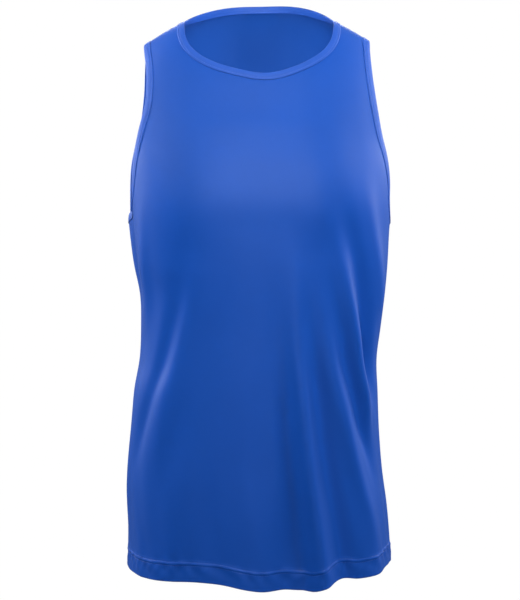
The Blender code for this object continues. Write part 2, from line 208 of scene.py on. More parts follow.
# The form of the worn cloth, in its own sizes
bodyForm = dict(
    seamGap=0.02 * mm, sectionPower=2.35, rollHeight=140 * mm, rollSoftness=0.2,
    crestHeight=25 * mm, crestFall=48.5 * mm, crestReach=143 * mm, crestPower=2.1, crestShift=1.5 * mm,
    napeLift=35.5 * mm, napeReach=98 * mm, napePower=2.6, napeShift=5.5 * mm, napeDepth=75 * mm,
    hemSwing=0.35, foldStart=60 * mm, foldGrown=0.65, foldFades=0.7,
    fineSteps=720, settlingRounds=240, fineTurn=radians(0.08), fineDrop=0.05 * mm,
)

neckCut = dict(
    halfWidth=101.5 * mm, shift=0.5 * mm, frontDrop=68 * mm, fullness=0.8,
    dip=5 * mm, dipReach=36 * mm, dipShift=13 * mm, backDrop=34.5 * mm, backPower=1.1,
)


def readTable(columns, rows):
    return {name: np.array([row[i] for row in rows]) for i, name in enumerate(columns.split())}


# Sections of the torso form at each drop below the shoulder points, in millimetres
torso = readTable("drop right left front back", (
    (0, 172, 170, 97, 105),
    (30, 172, 170, 97, 97),
    (60, 171, 170, 96, 93),
    (100, 170, 170, 98, 95),
    (140, 169, 169, 106, 104),
    (180, 168, 170, 116, 109),
    (220, 166, 168.5, 122, 109),
    (260, 163, 165.5, 122, 107),
    (300, 158, 163.5, 121, 104),
    (340, 150, 160, 119, 101),
    (380, 149, 155, 117, 98),
    (420, 151, 150, 116, 96),
    (460, 158, 151, 115, 97),
    (510, 162, 152, 114, 100),
    (560, 165, 155, 113, 104),
    (610, 166, 161, 112, 108),
    (660, 166, 165, 111, 111),
    (720, 169, 169, 111, 113),
))

# Armhole seam from the underarm to the strap tip: drop in millimetres, turns in degrees
armholeSeam = readTable("drop frontRight frontLeft backRight backLeft", (
    (250, 90, 90, 90, 90),
    (247, 82, 82, 83, 83),
    (239, 73, 75, 78, 78),
    (222, 66.5, 70, 75, 75.5),
    (200, 62.5, 67.5, 72, 73),
    (170, 58.5, 62, 67.5, 68),
    (140, 53.5, 56, 61.5, 61.5),
    (105, 48, 51.5, 55, 56),
    (70, 46.5, 49.2, 51.5, 53),
    (40, 46.8, 47.9, 50, 50.2),
    (18, 48, 47.3, 49.2, 48.3),
    (5, 48.8, 47.5, 49, 47.7),
    (0, 49, 47.5, 49, 47.5),
))

# Edge of the hem round the body: drop in millimetres at turns in degrees
hemEdge = readTable("turn drop", (
    (-180, 680),
    (-120, 680),
    (-90, 682),
    (-70, 686),
    (-52, 690),
    (-30, 688),
    (-15, 691),
    (-6, 695),
    (2, 698),
    (10, 697.5),
    (18, 700),
    (22.5, 699.5),
    (26.5, 692),
    (30.5, 689.5),
    (40, 690),
    (60, 684),
    (90, 679),
    (130, 679),
    (180, 680),
))

# Folds and creases: each runs from an upper to a lower place. Drops and heights are in
# millimetres, turns in degrees from the centre front, positive to the wearer's left.
foldColumns = "name topDrop topTurn lowDrop lowTurn halfTurn height keep"
folds = readTable(foldColumns, (
    ("right chest ridge", 215, -18.5, 600, -54.5, 6, 5, 0),
    ("right chest inner trough", 225, -9, 600, -44, 8, -2, 0),
    ("right chest outer trough", 225, -23.5, 580, -69, 5, -8.5, 0),
    ("right breast crown", 90, -27, 300, -31, 14, 3, 0),
    ("left breast crown", 90, 27, 290, 31, 13, 4.5, 0),
    ("right side crest", 200, -55, 400, -66, 5, 4, 0),
    ("right side valley", 150, -72, 355, -76, 5, -5.5, 0),
    ("right hip ridge", 430, -72, 640, -80, 6, 3, 0.2),
    ("right hem ridge", 500, -33, 700, -37, 9, 3, 1),
    ("centre hem ridge", 520, -4, 700, -3, 9, 3.5, 1),
    ("centre hem trough", 560, 11, 700, 13, 5, -3.5, 1),
    ("centre ridge", 240, 13.4, 700, 27.4, 4.6, 12.5, 1),
    ("centre ridge inner trough", 290, 6.5, 700, 19.5, 4.5, -5, 0.9),
    ("centre ridge outer trough", 290, 20, 700, 39.5, 4.8, -8, 1),
    ("middle ridge", 265, 19, 660, 59, 5, 7, 0.2),
    ("middle trough", 265, 24, 590, 65.5, 4.5, -7, 0),
    ("left chest ridge", 225, 30, 540, 63.5, 5, 8.5, 0),
    ("left chest trough", 180, 29, 500, 72, 5.5, -11, 0),
    ("left side crest", 170, 43, 400, 75, 5.5, 5, 0),
    ("left hem ridge", 560, 55, 700, 56, 7, 3, 1),
    ("left side ridge", 430, 84, 700, 90, 7, 3, 1),
    ("left back trough", 350, 104, 700, 110, 7, -4, 1),
    ("left back ridge", 330, 118, 700, 126, 6, 5, 1),
    ("left blade ridge", 150, 138, 430, 151, 7, 3.5, 0),
    ("left blade trough", 260, 140, 700, 142, 6, -4.5, 1),
    ("back centre left ridge", 300, 158, 700, 160, 7, 5, 1),
    ("back waist hollow", 270, 180, 610, 180, 15, -4.5, 0.2),
    ("right blade ridge", 150, -140, 430, -154, 7, 3.5, 0),
    ("back centre right ridge", 330, -164, 700, -167, 6, 4.5, 1),
    ("right blade trough", 300, -148, 700, -151, 6, -5, 1),
    ("right back ridge", 300, -130, 700, -134, 6, 5.5, 1),
    ("right back trough", 380, -113, 700, -118, 7, -4, 1),
))

creases = readTable(foldColumns, (
    ("left breast crest", 120, 38, 330, 46, 9, 1.5, 0),
    ("right chest easing", 215, -18.5, 600, -54.5, 5, -2.8, 0),
    ("right trough easing", 225, -23.5, 580, -69, 5, 4, 0),
    ("left chest crest", 240, 31.5, 500, 59, 3, 0.5, 0),
    ("right hem crease", 610, -60, 700, -56, 3, 1.1, 1),
    ("centre hem crease", 655, 6, 700, 20, 3, 0.9, 1),
    ("left hem crease", 640, 44, 700, 47, 3, -1.0, 1),
    ("back left crease", 380, 132, 560, 150, 3, 1.1, 0),
    ("back right crease", 360, -140, 540, -158, 3, -1.1, 0),
    ("back waist crease", 420, 168, 520, 188, 4, 1.0, 0),
))

Face = namedtuple("Face", "sign depth rollPower crestFade nape right left")
front = Face(-1, "front", 1.7, 120 * mm, 0.0, "frontRight", "frontLeft")
back = Face(1, "back", 2.0, 250 * mm, bodyForm["napeLift"], "backRight", "backLeft")


def smoothCurve(places, values, at):
    slopes = np.gradient(values, places)
    i = np.clip(np.searchsorted(places, at) - 1, 0, len(places) - 2)
    step = places[i + 1] - places[i]
    t = np.clip((at - places[i]) / step, 0, 1)
    rise = values[i] * (1 + 2 * t) * (1 - t) ** 2 + values[i + 1] * t * t * (3 - 2 * t)
    return rise + step * t * (1 - t) * (slopes[i] * (1 - t) - slopes[i + 1] * t)


def torsoSize(column, drop):
    return mm * smoothCurve(mm * torso["drop"], torso[column], drop)


def ease(t):
    t = np.clip(t, 0, 1)
    return t * t * (3 - 2 * t)


def bell(distance, reach):
    return np.exp(-((distance / reach) ** 2))


def crest(x):
    away = np.abs(x - bodyForm["crestShift"]) / bodyForm["crestReach"]
    return bodyForm["crestHeight"] - bodyForm["crestFall"] * away ** bodyForm["crestPower"]


def softRamp(t):
    return (t + np.hypot(t, bodyForm["rollSoftness"])) / 2


def depthAt(face, drop):
    below = np.clip(softRamp(1 - drop / bodyForm["rollHeight"]) / softRamp(1), 0, 1) ** face.rollPower
    return torsoSize(face.depth, drop) * (1 - below) ** (1 / face.rollPower)


def lift(face, x, drop):
    fade = np.clip(1 - (drop / face.crestFade) ** 2, 0, 1) ** 2
    behind = ease(depthAt(face, drop) / bodyForm["napeDepth"])
    across = np.abs(x - bodyForm["napeShift"]) / bodyForm["napeReach"]
    nape = face.nape * behind * np.exp(-(across ** bodyForm["napePower"]))
    return fade * (crest(x) + nape)


def roundBody(face, turn):
    return turn if face is front else np.where(turn < 0, -pi - turn, pi - turn)


def foldHeight(table, around, drop):
    total = np.zeros(np.broadcast(around, drop).shape)
    for i in range(len(table["name"])):
        top, low = mm * table["topDrop"][i], mm * table["lowDrop"][i]
        run = np.clip((drop - top) / (low - top), 0, 1)
        centre = table["topTurn"][i] + (table["lowTurn"][i] - table["topTurn"][i]) * run
        away = (np.degrees(around) - centre + 180) % 360 - 180
        fading = ease((run - bodyForm["foldFades"]) / (1 - bodyForm["foldFades"]))
        strength = ease(run / bodyForm["foldGrown"]) * (1 - (1 - table["keep"][i]) * fading)
        total += mm * table["height"][i] * strength * bell(away, table["halfTurn"][i])
    return total


# Slow, uneven ripples that a hanging knit always has, at most half a millimetre high.
# Each is a wave round the body that sways to and fro on its way down.
ripples = dict(
    height=0.22 * mm, calm=0.35, start=0.25, run=0.3,
    broad=dict(count=17, shift=0, sway=3, swayCount=9, swayShift=0), beat=13, beatShift=1.3,
    fine=dict(count=29, shift=2.1, sway=2.5, swayCount=14, swayShift=0.6), fineShare=0.7,
)


def swayingWave(form, around, along):
    sway = form["sway"] * np.sin(along * form["swayCount"] + form["swayShift"])
    return np.sin(around * form["count"] + form["shift"] + sway)


def softWaves(around, drop):
    low = ease((drop - ripples["start"]) / ripples["run"])
    beat = np.sin(drop * ripples["beat"] + ripples["beatShift"])
    wave = swayingWave(ripples["broad"], around, drop) * beat
    wave += ripples["fineShare"] * swayingWave(ripples["fine"], around, drop)
    return ripples["height"] * (ripples["calm"] + low) * wave


def clothPoints(face, turn, drop, raised=0.0):
    halfWidth = np.where(turn < 0, torsoSize("right", drop), torsoSize("left", drop))
    depth = depthAt(face, drop)
    power = bodyForm["sectionPower"]
    across, ahead = np.abs(np.sin(turn)), np.abs(np.cos(turn))
    reach = (across ** power + ahead ** power) ** (-1 / power)
    across, ahead = across * reach, ahead * reach
    side = np.sign(turn)
    x = side * halfWidth * across
    y = face.sign * (bodyForm["seamGap"] / 2 + depth * ahead)
    z = lift(face, x, drop) - drop
    outX = side * across ** (power - 1) / halfWidth
    outY = face.sign * ahead ** (power - 1) / np.maximum(depth, mm)
    around = roundBody(face, turn)
    height = foldHeight(folds, around, drop) + foldHeight(creases, around, drop) + softWaves(around, drop)
    height = (height * ease(drop / bodyForm["foldStart"]) + raised) / np.hypot(outX, outY)
    return np.stack([x + height * outX, y + height * outY, z], axis=-1)


def unit(vectors):
    return vectors / np.linalg.norm(vectors, axis=-1, keepdims=True)


def outwardNormals(face, turn, drop):
    step = bodyForm["fineTurn"]
    across = clothPoints(face, np.minimum(turn + step, pi / 2), drop)
    across -= clothPoints(face, np.maximum(turn - step, -pi / 2), drop)
    down = clothPoints(face, turn, drop + bodyForm["fineDrop"])
    down -= clothPoints(face, turn, np.maximum(drop - bodyForm["fineDrop"], 0))
    return unit(face.sign * np.cross(across, down))


def evenSteps(face, turn, drop, count):
    points = clothPoints(face, turn, drop)
    lengths = np.linalg.norm(np.diff(points, axis=0), axis=1)
    along = np.concatenate([[0], np.cumsum(lengths)])
    wanted = np.linspace(0, along[-1], count + 1)
    return np.interp(wanted, along, turn), np.interp(wanted, along, drop)


def turnOf(x, drop):
    power = bodyForm["sectionPower"]
    halfWidth = np.where(x < 0, torsoSize("right", drop), torsoSize("left", drop))
    across = np.minimum(np.abs(x) / halfWidth, 1)
    return np.sign(x) * np.arctan2(across, (1 - across ** power) ** (1 / power))


def neckline(face, count):
    swing = np.linspace(0, pi, bodyForm["fineSteps"] + 1)
    x = neckCut["shift"] - neckCut["halfWidth"] * np.cos(swing)
    if face is front:
        ends = crest(x[0]) + (crest(x[-1]) - crest(x[0])) * swing / pi
        dip = neckCut["dip"] * bell(x - neckCut["dipShift"], neckCut["dipReach"])
        bowl = (neckCut["frontDrop"] + ends) * np.abs(np.sin(swing)) ** neckCut["fullness"]
        level = ends - bowl - dip
        drop = np.zeros_like(x)
        for _ in range(bodyForm["settlingRounds"]):
            drop = np.maximum(lift(face, x, drop) - level, 0)
    else:
        drop = neckCut["backDrop"] * np.sin(swing) ** (2 * neckCut["backPower"])
    return evenSteps(face, turnOf(x, drop), drop, count)


def armhole(face, column, side, count):
    rows = np.arange(len(armholeSeam["drop"]), dtype=float)
    fine = np.linspace(0, rows[-1], bodyForm["fineSteps"] + 1)
    drop = np.maximum(mm * smoothCurve(rows, armholeSeam["drop"], fine), 0)
    turn = side * np.radians(smoothCurve(rows, armholeSeam[column], fine))
    return evenSteps(face, turn, drop, count)


def hemDrop(face, turn):
    around = roundBody(face, turn)
    edge = mm * smoothCurve(hemEdge["turn"], hemEdge["drop"], np.degrees(around))
    return edge + bodyForm["hemSwing"] * foldHeight(folds, around, edge)


def clothLength(face):
    # Distance along the cloth from the shoulder line to a drop, as two matching lists.
    drop = mm * torso["drop"][-1] * np.linspace(0, 1, bodyForm["fineSteps"] + 1) ** 2
    steps = np.hypot(np.diff(drop), np.diff(depthAt(face, drop)))
    return drop, np.concatenate([[0], np.cumsum(steps)])


panelMake = dict(
    thickness=0.8 * mm, strapColumns=12, neckColumns=120, bodyRows=100, armRows=74,
    edgeSteps=(0.0016, 0.004, 0.0075, 0.0125), edgeReach=1.3 * mm, unitArc=250 * mm,
    neckDitch=0.3 * mm, pinch=0.12 * mm, sideDitch=0.3 * mm, ditchTop=0.45, edgeBlend=3,
    sharpAngle=radians(60), clothPlace=(90, 80),  # row and column of a place well inside the cloth
)
hemMake = dict(
    foldRadius=0.95 * mm, layerGap=0.15 * mm, foldSteps=7,
    rows=(1.2, 2.4, 4.2, 6.5, 9, 11.5, 14, 16, 17.6, 18.8, 19.6, 20.2, 20.8, 21.6, 22.6, 23.5, 24.3, 24.9,
          25.5, 26.3, 27.3, 28.6, 30.2, 32.2),
    insideRows=(2, 5, 9, 13, 17, 19.5, 22, 24, 25.6),
    needleRows=(20.2 * mm, 24.9 * mm), needleDitch=0.2 * mm, needleReach=0.7 * mm,
    welt=0.6 * mm, weltReach=2.0 * mm, reliefTop=40 * mm,
    step=0.3 * mm, stepTop=25.2 * mm, stepRun=2.5 * mm,
    pucker=0.65 * mm, puckerPlace=17 * mm, puckerReach=9 * mm, puckerStart=-4 * mm, puckerRun=12 * mm,
    drag=dict(count=38, slant=170, sway=2, swayCount=11, swayShift=0),
    crossDrag=dict(count=61, slant=-260, sway=3, swayCount=7, swayShift=1), crossShare=0.5,
)


def slantingWave(form, around, height):
    sway = form["sway"] * np.sin(around * form["swayCount"] + form["swayShift"])
    return np.sin(around * form["count"] + height * form["slant"] + sway)


def hemRelief(height, around):
    # The two layers stand out a little, with a welt between the two needle rows.
    needle = hemMake["needleRows"]
    middle = sum(needle) / 2
    relief = hemMake["step"] * (1 - ease((height - hemMake["stepTop"]) / hemMake["stepRun"]))
    relief = relief + hemMake["welt"] * bell(height - middle, hemMake["weltReach"])
    for row in needle:
        relief = relief - hemMake["needleDitch"] * bell(height - row, hemMake["needleReach"])
    drag = slantingWave(hemMake["drag"], around, height)
    drag += hemMake["crossShare"] * slantingWave(hemMake["crossDrag"], around, height)
    pucker = hemMake["pucker"] * drag * bell(height - hemMake["puckerPlace"], hemMake["puckerReach"])
    return relief + pucker * ease((height - hemMake["puckerStart"]) / hemMake["puckerRun"])


def panelEdges(face):
    sides = []
    top = hemMake["rows"][-1] * mm
    for column, side in ((face.right, -1), (face.left, 1)):
        armTurn, armDrop = armhole(face, column, side, panelMake["armRows"])
        start = hemDrop(face, side * pi / 2) - top
        seamDrop = np.linspace(start, armDrop[0], panelMake["bodyRows"] + 1)[:-1]
        seamTurn = np.full(panelMake["bodyRows"], side * pi / 2)
        sides.append((np.concatenate([seamTurn, armTurn]), np.concatenate([seamDrop, armDrop])))
    return sides


def panelColumns():
    count = 2 * panelMake["strapColumns"] + panelMake["neckColumns"]
    even = np.linspace(-1, 1, count + 1)
    near = 1 - np.array(panelMake["edgeSteps"])
    even = np.concatenate([even[:1], -near, even[1:-1], near[::-1], even[-1:]])
    return np.sort(even)


def topEdge(face, across, tips):
    # Turns and drops of the top edge: strap, neck, strap.
    neckTurn, neckDrop = neckline(face, panelMake["neckColumns"])
    share = panelMake["strapColumns"] / (2 * panelMake["strapColumns"] + panelMake["neckColumns"])
    corner = 1 - 2 * share
    places = np.concatenate([[-1], np.linspace(-corner, corner, len(neckTurn)), [1]])
    turns = np.concatenate([[tips[0]], neckTurn, [tips[1]]])
    drops = np.concatenate([[0], neckDrop, [0]])
    return np.interp(across, places, turns), np.interp(across, places, drops)


def panelGrid(face):
    across = panelColumns()
    sides = panelEdges(face)
    (rightTurn, rightDrop), (leftTurn, leftDrop) = sides
    topTurn, topDrop = topEdge(face, across, (rightTurn[-1], leftTurn[-1]))
    drops, lengths = clothLength(face)

    def lengthAt(drop):
        return np.interp(drop, drops, lengths)

    bodyTurn = across * pi / 2
    hem = hemDrop(face, bodyTurn)
    hemHeights = mm * np.array(hemMake["rows"])
    turns = [bodyTurn] * len(hemHeights)
    heights = [hem - up for up in hemHeights]
    start = lengthAt(heights[-1])
    end = lengthAt(topDrop)
    underarm = lengthAt(rightDrop[panelMake["bodyRows"]])
    edgeStart = lengthAt(rightDrop[0])
    rows = panelMake["bodyRows"] + panelMake["armRows"]
    for row in range(1, rows + 1):
        body = min(row / panelMake["bodyRows"], 1) * (edgeStart - underarm)
        arm = max(row - panelMake["bodyRows"], 0) / panelMake["armRows"] * underarm
        middle = (body + arm) / edgeStart
        rightShare = 1 - lengthAt(rightDrop[row]) / edgeStart
        leftShare = 1 - lengthAt(leftDrop[row]) / lengthAt(leftDrop[0])
        edgeShare = np.where(across < 0, rightShare, leftShare)
        share = middle + (edgeShare - middle) * np.abs(across) ** panelMake["edgeBlend"]
        tip = np.where(across < 0, -topTurn[0], topTurn[-1])
        spread = across + (topTurn / tip - across) * middle ** panelMake["edgeBlend"]
        turns.append(spread * np.where(across < 0, -rightTurn[row], leftTurn[row]))
        heights.append(np.interp(start + (end - start) * share, lengths, drops))
    turns, heights = np.array(turns), np.array(heights)
    first = len(hemHeights)
    turns[first:, 0], turns[first:, -1] = rightTurn[1:], leftTurn[1:]
    heights[first:, 0], heights[first:, -1] = rightDrop[1:], leftDrop[1:]
    turns[-1], heights[-1] = topTurn, topDrop
    return across, turns, heights, hem


def seamRelief(face, across, turns, heights):
    # Ditches where the stitching pulls the cloth down beside its seams.
    drops, lengths = clothLength(face)
    cloth = np.interp(heights, drops, lengths)
    reach = panelMake["edgeReach"]
    toTop = bell(cloth - cloth[-1], reach) * (cloth < panelMake["ditchTop"])
    toSide = bell((1 - np.abs(across)) * panelMake["unitArc"], reach)
    rows = np.arange(len(turns))[:, None]
    arm = rows >= len(hemMake["rows"]) + panelMake["bodyRows"]
    depth = np.where(arm, panelMake["neckDitch"], panelMake["sideDitch"]) * toSide
    return np.maximum(depth, panelMake["neckDitch"] * toTop)


mapMake = dict(turnSteps=180, dropSteps=59, inside=0.001)


def clothMap(face, turns, drops, hem):
    # Places on the flat cloth in metres: across the body, and up from the hem.
    turnSteps, dropSteps = mapMake["turnSteps"], mapMake["dropSteps"]
    fineTurn = np.linspace(-pi / 2, pi / 2, turnSteps + 1)
    fineDrop = np.linspace(0, mm * torso["drop"][-1], dropSteps + 1)
    grid = clothPoints(face, fineTurn[None, :], fineDrop[:, None])
    steps = np.linalg.norm(np.diff(grid, axis=1), axis=2)
    arc = np.concatenate([np.zeros((len(fineDrop), 1)), np.cumsum(steps, axis=1)], axis=1)
    arc -= arc[:, turnSteps // 2][:, None]
    row = np.clip(drops / fineDrop[-1] * dropSteps, 0, dropSteps - mapMake["inside"])
    column = np.clip((turns + pi / 2) / pi * turnSteps, 0, turnSteps - mapMake["inside"])
    i, j = row.astype(int), column.astype(int)
    a, b = row - i, column - j
    across = (arc[i, j] * (1 - b) + arc[i, j + 1] * b) * (1 - a)
    across += (arc[i + 1, j] * (1 - b) + arc[i + 1, j + 1] * b) * a
    dropList, lengths = clothLength(face)
    up = np.interp(hem, dropList, lengths) - np.interp(drops, dropList, lengths)
    return np.stack([across, up], axis=-1)


def shellFromGrid(name, outer, inner, flat):
    # A closed sheet from a grid of outer places and the matching inner ones.
    rows, columns = outer.shape[:2]
    bpy.ops.object.select_all(action="DESELECT")
    bpy.ops.mesh.primitive_grid_add(x_subdivisions=columns - 1, y_subdivisions=rows - 1)
    piece = bpy.context.active_object
    piece.name = piece.data.name = name
    mesh = bmesh.new()
    mesh.from_mesh(piece.data)
    number = mesh.verts.layers.int.new("number")
    outerList, innerList = outer.reshape(-1, 3), inner.reshape(-1, 3)
    for i, vert in enumerate(mesh.verts):
        vert[number] = i
        vert.co = outerList[i]
        vert.select = False
    walls = bmesh.ops.extrude_face_region(mesh, geom=mesh.faces[:])
    for vert in walls["geom"]:
        if isinstance(vert, bmesh.types.BMVert):
            vert.co = innerList[vert[number]]
            vert.select = True
    bmesh.ops.recalc_face_normals(mesh, faces=mesh.faces[:])
    layer = mesh.loops.layers.uv.verify()
    flatList = flat.reshape(-1, 2)
    for side in mesh.faces:
        side.smooth = True
        side.material_index = int(all(vert.select for vert in side.verts))
        for loop in side.loops:
            loop[layer].uv = flatList[loop.vert[number]]
    mesh.to_mesh(piece.data)
    mesh.free()
    piece.data.set_sharp_from_angle(angle=panelMake["sharpAngle"])
    piece.data.materials.append(materials["cloth"])
    # The inner faces take the darker inside knit, which carries painted shade.
    piece.data.materials.append(materials["clothInside"])
    return piece


def makePanel(name, node, face):
    across, turns, drops, hem = panelGrid(face)
    around = roundBody(face, turns)
    above = hem - drops
    relief = np.where(above < hemMake["reliefTop"], hemRelief(above, around), 0)
    ditch = seamRelief(face, across, turns, drops)
    outer = clothPoints(face, turns, drops, relief - ditch)
    normals = outwardNormals(face, turns, drops)
    thick = panelMake["thickness"] - np.minimum(ditch, panelMake["pinch"])
    inner = outer - normals * thick[..., None]
    # The hem turns up inside: a small round fold, then the second layer up past the needle rows.
    radius, gap = hemMake["foldRadius"], hemMake["layerGap"]
    foldTurns = np.linspace(0, pi, hemMake["foldSteps"])
    extraDrop, outerIn, innerIn = [], [], []
    for swing in foldTurns:
        extraDrop.append(hem - radius + radius * np.sin(swing))
        outerIn.append(radius * (1 - np.cos(swing)))
        innerIn.append(radius - gap / 2 * np.cos(swing))
    for up in mm * np.array(hemMake["insideRows"]):
        extraDrop.append(hem - up)
        outerIn.append(2 * radius)
        innerIn.append(radius + gap / 2)
    extraDrop = np.array(extraDrop)
    bodyTurn = np.broadcast_to(turns[0], extraDrop.shape)
    extraAround = roundBody(face, bodyTurn)
    raised = hemRelief(hem - extraDrop, extraAround)
    surface = clothPoints(face, bodyTurn, extraDrop, raised)
    extraNormals = outwardNormals(face, bodyTurn, extraDrop)
    outerExtra = surface - extraNormals * np.array(outerIn)[:, None, None]
    innerExtra = surface - extraNormals * np.array(innerIn)[:, None, None]
    flat = clothMap(face, turns, drops, hem)
    flatExtra = clothMap(face, bodyTurn, extraDrop, hem)
    flatExtra[len(foldTurns):, :, 1] *= -1  # the turned-up layer runs on below the fold line
    allOuter = np.concatenate([outerExtra[::-1], outer])
    allInner = np.concatenate([innerExtra[::-1], inner])
    allFlat = np.concatenate([flatExtra[::-1], flat])
    piece = shellFromGrid(name, allOuter, allInner, allFlat)
    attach(piece, "root")
    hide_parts(node)
    size = np.ptp(flat.reshape(-1, 2), axis=0)
    print(name, "flat width and height", size.round(3), len(piece.data.polygons), "faces")
    return piece, dict(turns=turns, hem=hem, points=clothPoints(face, turns, drops), normals=normals)


frontCloth, frontEdges = makePanel("frontCloth", "front_panel", front)
backCloth, backEdges = makePanel("backCloth", "back_panel", back)
print("panels are made")


bindingMake = dict(
    neckWidth=8.5 * mm, armWidth=9.5 * mm, neckLean=radians(40), neckLeanDepth=55 * mm,
    underarmLean=radians(10), underarmLeanStart=150 * mm, underarmLeanRun=80 * mm,
    thickness=0.62 * mm, leastGap=0.02 * mm, overlap=0.9 * mm, gap=0.9 * mm,
    crown=0.32 * mm, crownPower=0.8, edgeDips=(0.35 * mm, 0.08 * mm),
    needle=1.9 * mm, needleDip=0.22 * mm, needleReach=0.8 * mm,
    capSteps=9, faceSteps=13, faceCrowding=1.25, midHeight=-0.4 * mm,
    normalRounds=4, alongRounds=2, armPlace=3,
)


def bindingSection(width):
    # The folded strip cut across: outer face, round fold, inner face, then back inside it.
    make = bindingMake
    start, end = -make["overlap"], width - make["gap"] / 2 - make["thickness"]
    w = start + (end - start) * np.linspace(0, 1, make["faceSteps"]) ** make["faceCrowding"]
    share = (w - start) / (end - start)
    swell = make["crown"] * np.sin(pi * np.clip(share, 0, 1)) ** make["crownPower"]
    dip = make["needleDip"] * bell(w - make["needle"], make["needleReach"])
    h = make["gap"] / 2 + make["thickness"] + swell - dip
    h[:2] -= make["edgeDips"]
    turns = np.linspace(pi / 2, 0, make["capSteps"])[1:]
    capW = end + (width - end) * np.cos(turns)
    capH = h[-1] * np.sin(turns)
    outerW, outerH = np.concatenate([w, capW]), np.concatenate([h, capH])
    outerW = np.concatenate([outerW, outerW[-2::-1]])
    outerH = np.concatenate([outerH, -outerH[-2::-1]])
    within = np.maximum(np.abs(outerH) - make["thickness"], make["leastGap"])
    innerH = np.sign(outerH) * np.minimum(np.abs(outerH), within)
    innerW = np.minimum(outerW, outerW - make["thickness"] * (outerW - end) / (width - end))
    innerW = np.where(outerW > end, innerW, outerW)
    return np.concatenate([outerW, innerW[::-1]]), np.concatenate([outerH, innerH[::-1]])


def joinLoop(ahead, behind):
    start, end = (ahead[0] + behind[-1]) / 2, (ahead[-1] + behind[0]) / 2
    return np.concatenate([[start], ahead[1:-1], [end], behind[1:-1]])


def smoothLoop(values, times):
    for _ in range(times):
        values = (np.roll(values, 1, axis=0) + 2 * values + np.roll(values, -1, axis=0)) / 4
    return values


def edgeLoop(rows, columns, place, lean):
    # A closed loop of edge points round front and back, with its outward and off-cloth ways.
    lines = []
    for edges in (frontEdges, backEdges):
        lines.append((edges["points"][rows, columns], edges["normals"][rows, columns]))
    points = joinLoop(lines[0][0], lines[1][0][::-1])
    normals = smoothLoop(joinLoop(lines[0][1], lines[1][1][::-1]), bindingMake["normalRounds"])
    along = np.roll(points, -1, axis=0) - np.roll(points, 1, axis=0)
    along = unit(smoothLoop(along, bindingMake["alongRounds"]))
    normals = unit(normals - along * np.sum(normals * along, axis=1, keepdims=True))
    off = np.cross(along, normals)
    if np.dot(off[place], frontEdges["points"][panelMake["clothPlace"]] - points[place]) > 0:
        off = -off
    # The neck binding leans back behind the neck, the armhole bindings lean in under the arm.
    tilt = lean * ease(points[:, 1:2] / bindingMake["neckLeanDepth"])
    low = (-points[:, 2:] - bindingMake["underarmLeanStart"]) / bindingMake["underarmLeanRun"]
    tilt = tilt - bindingMake["underarmLean"] * ease(low)
    leaning = off * np.cos(tilt) + normals * np.sin(tilt)
    return points, normals * np.cos(tilt) - off * np.sin(tilt), leaning


def makeBinding(name, node, width, loop):
    points, normals, off = loop
    w, h = bindingSection(width)
    ring = points[:, None] + off[:, None] * w[None, :, None]
    ring = ring + normals[:, None] * (bindingMake["midHeight"] + h)[None, :, None]
    bpy.ops.object.select_all(action="DESELECT")
    bpy.ops.mesh.primitive_torus_add(major_segments=len(points), minor_segments=len(w))
    piece = bpy.context.active_object
    piece.name = piece.data.name = name
    piece.data.vertices.foreach_set("co", ring.astype(np.float32).ravel())
    piece.data.update()
    steps = np.linalg.norm(np.diff(np.concatenate([points, points[:1]]), axis=0), axis=1)
    around = np.concatenate([[0], np.cumsum(steps)])
    sectionSteps = np.hypot(np.diff(np.append(w, w[0])), np.diff(np.append(h, h[0])))
    sectionArc = np.concatenate([[0], np.cumsum(sectionSteps)])
    mesh = bmesh.new()
    mesh.from_mesh(piece.data)
    layer = mesh.loops.layers.uv.verify()
    count = len(w)
    for side in mesh.faces:
        side.smooth = True
        rings = [corner.vert.index // count for corner in side.loops]
        spots = [corner.vert.index % count for corner in side.loops]
        closesLoop = max(rings) == len(points) - 1 and min(rings) == 0
        closesSection = max(spots) == count - 1 and min(spots) == 0
        for corner, i, j in zip(side.loops, rings, spots):
            i = len(points) if closesLoop and i == 0 else i
            j = count if closesSection and j == 0 else j
            corner[layer].uv = (around[i], sectionArc[j])
    bmesh.ops.recalc_face_normals(mesh, faces=mesh.faces[:])
    mesh.to_mesh(piece.data)
    mesh.free()
    piece.data.materials.append(materials["binding"])
    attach(piece, "root")
    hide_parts(node)
    flatWidth = sectionArc[-1] / 2
    print(name, "strip", round(around[-1], 3), "x", round(flatWidth, 4))
    return piece, (flatWidth, around[-1])


neckStart = len(panelMake["edgeSteps"]) + panelMake["strapColumns"]
neckColumns = np.arange(neckStart, neckStart + panelMake["neckColumns"] + 1)
armRows = np.arange(-(panelMake["armRows"] + 1), 0)
neckLoop = edgeLoop(-1, neckColumns, panelMake["neckColumns"] // 2, bindingMake["neckLean"])
rightLoop = edgeLoop(armRows, 0, bindingMake["armPlace"], 0)
leftLoop = edgeLoop(armRows, -1, bindingMake["armPlace"], 0)
neckWide, armWide = bindingMake["neckWidth"], bindingMake["armWidth"]
neckBinding, neckFlat = makeBinding("neckBinding", "neck_binding", neckWide, neckLoop)
rightBinding, rightFlat = makeBinding("armholeBindingRight", "armhole_binding_right", armWide, rightLoop)
leftBinding, leftFlat = makeBinding("armholeBindingLeft", "armhole_binding_left", armWide, leftLoop)
print("bindings are made")


stitchMake = dict(
    length=2.3 * mm, pitch=2.9 * mm, width=0.42 * mm, height=0.34 * mm,
    lift=0.05 * mm, lookAhead=0.5 * mm, segments=6, rings=4,
)


